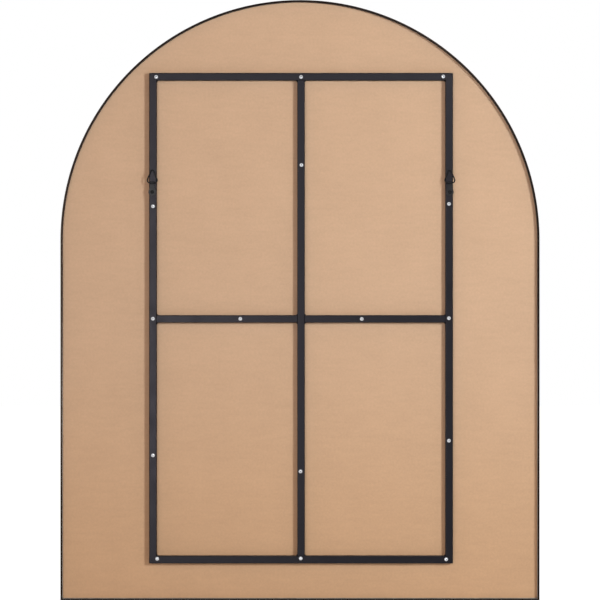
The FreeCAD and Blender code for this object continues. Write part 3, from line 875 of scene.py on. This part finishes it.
@dataclass
class WeldBeads:
    """Sixteen small fillet welds, one in each inner corner of the grid's four windows.

    Each is a row of overlapping ripples, as the torch lays them, that narrows at both ends.
    """

    leg: float = 2.5
    least_leg_share: float = 0.92
    end_sharpness: int = 6  # the power of the curve that its ends narrow by
    end_share: float = 0.02  # of its full section, where it ends
    bulge: float = 0.32
    ripple: float = 0.16
    ripple_pitch: float = 1.5
    steps: int = 40
    arc_steps: int = 6
    seed: int = 11

    def bead(self, mesh: bmesh.types.BMesh, corner: Vector, turns: tuple[int, int], reach: Pair,
             chance: random.Random) -> None:
        """Lay one bead along a corner.

        Args:
            mesh: The bmesh that gets the bead.
            corner: The corner's place in x and z.
            turns: The signs of x and z that point into the window.
            reach: The bead's start and end in y.
            chance: The source of its unevenness.
        """
        start, end = reach
        sideways, upwards = turns
        phase = chance.uniform(0, math.tau)
        full_leg = self.leg * chance.uniform(self.least_leg_share, 1.0)
        rings = []
        for step in range(self.steps + 1):
            share = step / self.steps
            taper = math.sqrt(max(1 - abs(2 * share - 1) ** self.end_sharpness, self.end_share))
            along = share * (end - start) / MM
            wave = abs(math.sin(math.pi * along / self.ripple_pitch + phase))
            leg = full_leg * taper - self.ripple * (1 - wave)
            section = [(0.0, 0.0)]
            for part in range(self.arc_steps + 1):
                split = part / self.arc_steps
                out = self.bulge * math.sin(math.pi * split) * wave * math.sin(math.pi / 4)
                section.append((leg * (1 - split) + out, leg * split + out))
            y = start + share * (end - start)
            rings.append([Vector((corner.x + sideways * across * MM, y, corner.z + upwards * up * MM))
                          for across, up in section])
        loft(mesh, rings)

    def build(self, material: bpy.types.Material) -> None:
        """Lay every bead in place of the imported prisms.

        Args:
            material: The beads' finish.
        """
        chance = random.Random(self.seed)
        low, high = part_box("grid_weld_beads")
        columns = ((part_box("grid_stile_right")[1].x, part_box("grid_mullion")[0].x),
                   (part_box("grid_mullion")[1].x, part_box("grid_stile_left")[0].x))
        rows = ((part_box("grid_bottom_rail")[1].z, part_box("grid_cross_rail_left")[0].z),
                (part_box("grid_cross_rail_left")[1].z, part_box("grid_top_rail")[0].z))
        mesh = bmesh.new()
        for columns_x in columns:
            for rows_z in rows:
                for sideways, x in zip((1, -1), columns_x):
                    for upwards, z in zip((1, -1), rows_z):
                        self.bead(mesh, Vector((x, 0, z)), (sideways, upwards), (low.y, high.y), chance)
        add_piece("grid_weld_ripples", finish_mesh("grid_weld_ripples", mesh), material,
                  ["grid_weld_beads"])


@dataclass
class PanScrew:
    """A pan-head tapping screw with a tapered cross recess, its seat at its own origin and its head up."""

    diameter: float = 3.9
    root_diameter: float = 2.9
    length: float = 19.0
    point: float = 3.4
    tip_share: float = 0.06  # of the shank's thickness, at its very point
    pitch: float = 1.4
    flank_share: float = 0.3  # of the pitch, that each flank of the ridge takes up
    head: float = 7.5
    head_height: float = 2.8
    head_side: float = 1.2
    side_shares: Pair = (0.6, 0.7)  # of edge_round and of head_side, where the head's side starts and ends
    crown_shares: tuple[float, ...] = (0.97, 0.93, 0.86, 0.75, 0.6, 0.45, 0.3, 0.15)  # of the dome's spread
    edge_round: float = 0.35
    recess_span: float = 4.2
    recess_width: float = 0.95
    recess_flare: float = 1.12  # how much larger the cutter is than the recess, where it leaves the crown
    recess_floor_span: float = 2.0
    recess_floor_width: float = 0.6
    recess_depth: float = 1.5
    overrun: float = 0.3  # how far the recess's cutter stands out of the crown
    turns: int = 48
    thread_turns: int = 18
    rows_per_pitch: int = 6

    def head_outline(self) -> list[Pair]:
        """Work out the head's outline.

        Returns:
            Its points as radius and height, from its seat to its crown.
        """
        rise = self.head_height - self.head_side
        half = self.head / 2
        dome = (half ** 2 + rise ** 2) / (2 * rise)
        centre = self.head_height - dome
        spread = math.asin(half / dome)
        outline = [
            (half - self.edge_round, 0.0),
            (half, self.edge_round * self.side_shares[0]),
            (half, self.head_side * self.side_shares[1]),
        ]
        crown = [(dome * math.sin(spread * share), centre + dome * math.cos(spread * share))
                 for share in self.crown_shares]
        return outline + crown

    def head_mesh(self) -> bpy.types.Mesh:
        """Turn the head and cut its recess.

        Returns:
            The head's mesh, in millimetres.
        """
        outline = self.head_outline()
        head = bmesh.new()
        rings = [[Vector((radius * math.cos(math.tau * turn / self.turns),
                          radius * math.sin(math.tau * turn / self.turns), height))
                  for turn in range(self.turns)] for radius, height in outline]
        loft(head, rings)
        top = max(head.faces, key=lambda face: face.calc_center_median().z)
        bmesh.ops.poke(head, faces=[top])
        crown = max(head.verts, key=lambda vert: (vert.co.z, -vert.co.xy.length))
        crown.co.z = self.head_height
        cutter = bmesh.new()
        loft(cutter, [self.cross(self.recess_span * self.recess_flare, self.recess_width * self.recess_flare,
                                 self.head_height + self.overrun),
                      self.cross(self.recess_floor_span, self.recess_floor_width,
                                 self.head_height - self.recess_depth)])
        return cut(finish_mesh("screw_head", head), finish_mesh("screw_recess", cutter))

    def cross(self, span: float, width: float, height: float) -> Ring:
        """Draw a level cross.

        Args:
            span: How long its arms are together.
            width: How wide an arm is.
            height: How high it lies.

        Returns:
            Its twelve points.
        """
        long, short = span / 2, width / 2
        arm = ((long, -short), (long, short), (short, short))
        return [Matrix.Rotation(math.pi / 2 * quarter, 3, "Z") @ Vector((x, y, height))
                for quarter in range(4) for x, y in arm]

    def shank_rings(self) -> list[Ring]:
        """Wind the thread down the shank.

        Returns:
            The shank's rings from its seat to its point, in millimetres.
        """
        rings = []
        rows = int(self.length / self.pitch * self.rows_per_pitch)
        for row in range(rows + 1):
            down = self.length * row / rows
            taper = min((self.length - down) / self.point, 1.0) * (1 - self.tip_share) + self.tip_share
            ring = []
            for turn in range(self.thread_turns):
                share = turn / self.thread_turns
                phase = (down / self.pitch - share) % 1.0
                ridge = max(1 - abs(phase - 1 / 2) / self.flank_share, 0.0)
                radius = (self.root_diameter + (self.diameter - self.root_diameter) * ridge) / 2 * taper
                ring.append(Vector((radius * math.cos(math.tau * share), radius * math.sin(math.tau * share),
                                    -down)))
            rings.append(ring)
        return rings

    def mesh(self, name: str) -> bpy.types.Mesh:
        """Make the whole screw.

        Args:
            name: The mesh's name.

        Returns:
            Its mesh, in metres.
        """
        whole = bmesh.new()
        head = self.head_mesh()
        whole.from_mesh(head)
        bpy.data.meshes.remove(head)
        loft(whole, self.shank_rings())
        whole.transform(Matrix.Scale(MM, 4))
        return finish_mesh(name, whole)


@dataclass
class TubeGrid:
    """The welded grid of square tube and the sixteen screws that hold it to the board."""

    tubes: tuple[str, ...] = ("grid_stile_left", "grid_stile_right", "grid_mullion", "grid_top_rail",
                              "grid_bottom_rail", "grid_cross_rail_left", "grid_cross_rail_right")
    head_gap: float = 12.0  # packed points nearer than this are of one screw head
    seed: int = 5

    def screw_axes(self, node: bpy.types.Object) -> list[Vector]:
        """Find where each packed screw's axis stands.

        Args:
            node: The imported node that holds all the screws.

        Returns:
            Where each axis meets the tubes' rear faces, the highest first.
        """
        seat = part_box("grid_stile_left")[1].y
        heads: list[list[Vector]] = []
        for vertex in node.data.vertices:
            if vertex.co.y < seat:
                continue
            for head in heads:
                if (head[0] - vertex.co).length < self.head_gap * MM:
                    head.append(vertex.co.copy())
                    break
            else:
                heads.append([vertex.co.copy()])
        axes = []
        for head in heads:
            xs, zs = [point.x for point in head], [point.z for point in head]
            axes.append(Vector(((min(xs) + max(xs)) / 2, seat, (min(zs) + max(zs)) / 2)))
        return sorted(axes, key=lambda axis: (-round(axis.z, 3), -axis.x))

    def build(self, coat: bpy.types.Material, zinc: bpy.types.Material,
              nodes: Mapping[str, bpy.types.Object]) -> None:
        """Dress the tubes, lay the welds and drive the screws, each stopped at its own turn.

        Args:
            coat: The finish of the tubes and welds.
            zinc: The finish of the screws.
            nodes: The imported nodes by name.
        """
        dress(nodes, self.tubes, coat)
        WeldBeads().build(coat)
        chance = random.Random(self.seed)
        data = PanScrew().mesh("grid_screw")
        for number, axis in enumerate(self.screw_axes(nodes["grid_screws"]), start=1):
            place = (Matrix.Translation(axis) @ Matrix.Rotation(-math.pi / 2, 4, "X")
                     @ Matrix.Rotation(chance.uniform(0, math.pi / 2), 4, "Z"))
            add_piece(f"grid_screw_{number:02d}", data, zinc, ["grid_screws"], place)


@dataclass
class Hangers:
    """The two straps with their rings, which fold on the grid's stiles, and the screws that hold them."""

    sides: tuple[str, ...] = ("left", "right")
    turns: tuple[float, ...] = (0.35, 1.1)  # where each side's screw stopped, in radians

    def build(self, black: bpy.types.Material, wire: bpy.types.Material,
              nodes: Mapping[str, bpy.types.Object]) -> None:
        """Dress the straps and rings and drive a black screw through each strap.

        Args:
            black: The finish of the straps and screws.
            wire: The finish of the rings.
            nodes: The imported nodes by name.
        """
        dress(nodes, [f"hanger_strap_{side}" for side in self.sides], black)
        dress(nodes, [f"hanger_ring_{side}" for side in self.sides], wire)
        screw = PanScrew(diameter=4.2, root_diameter=3.1, length=12.5, point=3.6, head=7.0, head_height=2.3,
                         head_side=0.9, recess_span=4.0, recess_floor_span=1.9, recess_depth=1.2)
        data = screw.mesh("hanger_screw")
        for side, turn in zip(self.sides, self.turns):
            low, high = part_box(f"hanger_screw_{side}")
            seat = Vector(((low.x + high.x) / 2, low.y + screw.length * MM, (low.z + high.z) / 2))
            place = (Matrix.Translation(seat) @ Matrix.Rotation(-math.pi / 2, 4, "X")
                     @ Matrix.Rotation(turn, 4, "Z"))
            add_piece(f"hanger_pan_screw_{side}", data, black, [f"hanger_screw_{side}"],
                      place)


# The studio


@dataclass(frozen=True)
class SoftLamp:
    """A lamp with a flat soft front, aimed at a point of the room."""

    name: str
    place: Triple
    size: Pair  # width and height
    power: float  # in watts
    colour: Triple = WHITE
    mirrored: bool = True  # whether glossy faces show it
    lighting: bool = True  # whether it lights matt faces, and not only gloss

    def hang(self, target: Vector) -> None:
        """Hang the lamp in its place.

        Args:
            target: The point that it is aimed at.
        """
        data = bpy.data.lights.new(self.name, "AREA")
        data.shape = "RECTANGLE"
        data.size, data.size_y = self.size
        data.energy = self.power
        data.color = self.colour
        lamp = bpy.data.objects.new(self.name, data)
        place = Vector(self.place)
        lamp.matrix_world = (Matrix.Translation(place)
                             @ (target - place).to_track_quat("-Z", "Y").to_matrix().to_4x4())
        lamp.visible_glossy = self.mirrored
        lamp.visible_diffuse = self.lighting
        lamp.visible_camera = self.lighting
        bpy.context.scene.collection.objects.link(lamp)


@dataclass
class Studio:
    """A plain white studio with a pale floor, even light all round, and a camera behind the mirror.

    Two soft lamps light the mirror. Three cards stand where gloss shows them, and light nothing else.
    """

    camera_height: float = 0.6003
    camera_distance: float = 4.4
    camera_sees_to: float = 60.0
    picture_span: float = 1.199
    sensor_width: float = 36.0  # in millimetres
    lamps: tuple[SoftLamp, ...] = (
        SoftLamp("key_lamp", (-1.6, 2.6, 1.1), (0.42, 0.42), 52.8, (0.867, 1.0, 1.067), mirrored=False),
        SoftLamp("tall_panel", (1.05, 5.2, 0.5), (1.4, 3.0), 88.0, (1.04, 0.99, 0.98)),
        SoftLamp("left_card", (1.7, 5.2, 0.55), (1.2, 1.0), 73.0, lighting=False),
        SoftLamp("low_card", (0.44, 2.6, 0.18), (0.3, 0.34), 6.0, lighting=False),
        SoftLamp("right_card", (-1.3, 5.2, 2.3), (1.2, 1.2), 104.0, lighting=False),
    )
    even_light: Triple = (0.324, 0.23, 0.156)
    floor_size: float = 16.0
    floor_colour: str = "#DCE7F6"
    floor_lift: float = 0.86

    def world(self) -> None:
        """Light everything evenly, and show white behind the object and in what reflects or passes it."""
        world = bpy.data.worlds.new("studio")
        bpy.context.scene.world = world
        world.use_nodes = True
        tree = world.node_tree
        tree.nodes.clear()
        seen = self.seen_directly(tree)
        colour = add_node(tree, "ShaderNodeMix",
                          {"data_type": "RGBA", 6: (*self.even_light, 1.0), 7: (*WHITE, 1.0)}, {0: seen})
        background = add_node(tree, "ShaderNodeBackground", links={"Color": colour.outputs[2]})
        add_node(tree, "ShaderNodeOutputWorld", links={"Surface": background.outputs[0]})

    def seen_directly(self, tree: bpy.types.NodeTree) -> bpy.types.NodeSocket:
        """Tell the rays that show a surface as it is from those that gather light for matt faces.

        Args:
            tree: The node tree that gets the nodes.

        Returns:
            An output that is one for the camera's, reflected and passed rays, and nought for the others.
        """
        path = add_node(tree, "ShaderNodeLightPath")
        either = add_node(tree, "ShaderNodeMath", {"operation": "MAXIMUM"},
                          {0: path.outputs["Is Camera Ray"], 1: path.outputs["Is Glossy Ray"]})
        any_of = add_node(tree, "ShaderNodeMath", {"operation": "MAXIMUM"},
                          {0: either.outputs[0], 1: path.outputs["Is Transmission Ray"]})
        return any_of.outputs[0]

    def floor(self) -> None:
        """Lay the floor, white where nothing stands near it, with the object's soft shadow on it."""
        mesh = bmesh.new()
        bmesh.ops.create_grid(mesh, x_segments=1, y_segments=1, size=self.floor_size / 2)
        floor = bpy.data.objects.new("studio_floor", finish_mesh("studio_floor", mesh))
        bpy.context.scene.collection.objects.link(floor)
        material = bpy.data.materials.new("matt_studio_floor")
        material.use_nodes = True
        tree = material.node_tree
        tree.nodes.clear()
        matt = add_node(tree, "ShaderNodeBsdfDiffuse", {"Color": linear(self.floor_colour)})
        lift = add_node(tree, "ShaderNodeMath", {"operation": "MULTIPLY", 1: self.floor_lift},
                        {0: self.seen_directly(tree)})
        glow = add_node(tree, "ShaderNodeEmission", links={"Strength": lift.outputs[0]})
        both = add_node(tree, "ShaderNodeAddShader", links={0: matt.outputs[0], 1: glow.outputs[0]})
        add_node(tree, "ShaderNodeOutputMaterial", links={"Surface": both.outputs[0]})
        floor.data.materials.append(material)

    def camera(self, rim_back: float) -> None:
        """Set the camera level and straight behind the mirror.

        Args:
            rim_back: Where the frame's rear face is in y, at which the picture spans picture_span.
        """
        data = bpy.data.cameras.new("camera")
        data.sensor_width = self.sensor_width
        data.lens = self.sensor_width * self.camera_distance / self.picture_span
        data.clip_end = self.camera_sees_to
        camera = bpy.data.objects.new("camera", data)
        place = Vector((0.0, rim_back + self.camera_distance, self.camera_height))
        camera.matrix_world = (Matrix.Translation(place) @ Matrix.Rotation(math.pi, 4, "Z")
                               @ Matrix.Rotation(math.pi / 2, 4, "X"))
        bpy.context.scene.collection.objects.link(camera)
        bpy.context.scene.camera = camera

    def build(self, rim_back: float) -> None:
        """Set up the world, the floor, the lamps and the camera.

        Args:
            rim_back: Where the frame's rear face is in y.
        """
        bpy.context.scene.view_settings.view_transform = "Standard"
        self.world()
        self.floor()
        for lamp in self.lamps:
            lamp.hang(Vector((0.0, 0.0, self.camera_height)))
        self.camera(rim_back)
        log.info("studio ready")


def main() -> None:
    """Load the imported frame, dress it piece by piece, and set up the studio."""
    logging.basicConfig(level=logging.INFO, format="%(message)s")
    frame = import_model()
    nodes = frame["nodes"]

    frame_coat = PowderCoat("powder_coated_aluminium", "#150D0B", roughness=0.16, specular=0.06,
                            relief_mm=0.003, wear=0.2, rubbed="#2A2220", sheen="#FFE0CC").build()
    tube_coat = PowderCoat("powder_coated_steel_tube", "#0E0D11", roughness=0.34, specular=0.116,
                           sheen="#F3EEFA").build()
    primer = GreyPrimer("grey_wash_primer", "#A39D96", roughness=0.6, specular=0.25).build()
    board = RawFibreboard("raw_fibreboard", "#CDA889", roughness=0.85, specular=0.2).build()
    glass = FloatGlass("float_glass", "#F6FBF8", roughness=0.0, ior=1.52).build()
    silver = Silvering("silver_deposit", "#F4F4F1", roughness=0.012, metallic=1.0).build()
    foam = FoamTape("foam_tape", "#E9E9E6", roughness=0.8, specular=0.3).build()
    zinc = PlatedSteel("zinc_plated_steel", "#C5C7CA", roughness=0.27, metallic=1.0).build()
    galvanised = PlatedSteel("galvanised_steel", "#B4B6B8", roughness=0.38, metallic=1.0,
                             mark_mm=4.0).build()
    strap_black = PlatedSteel("black_zinc_plate", "#0B0B0E", roughness=0.36, specular=0.13, grime="#1D1D21",
                              recess_shade="#050505").build()
    wire_black = PlatedSteel("black_oxide_wire", "#070708", roughness=0.3, specular=0.09, grime="#141416",
                             recess_shade="#040404").build()

    FrameRails().build(frame_coat, primer, galvanised, nodes)
    MirrorPane().build(glass, silver, nodes)
    BackPanel().build(board, foam, nodes)
    TubeGrid().build(tube_coat, zinc, nodes)
    Hangers().build(strap_black, wire_black, nodes)
    Studio().build(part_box("frame_arch_rail")[1].y)


if __name__ == "__main__":
    main()
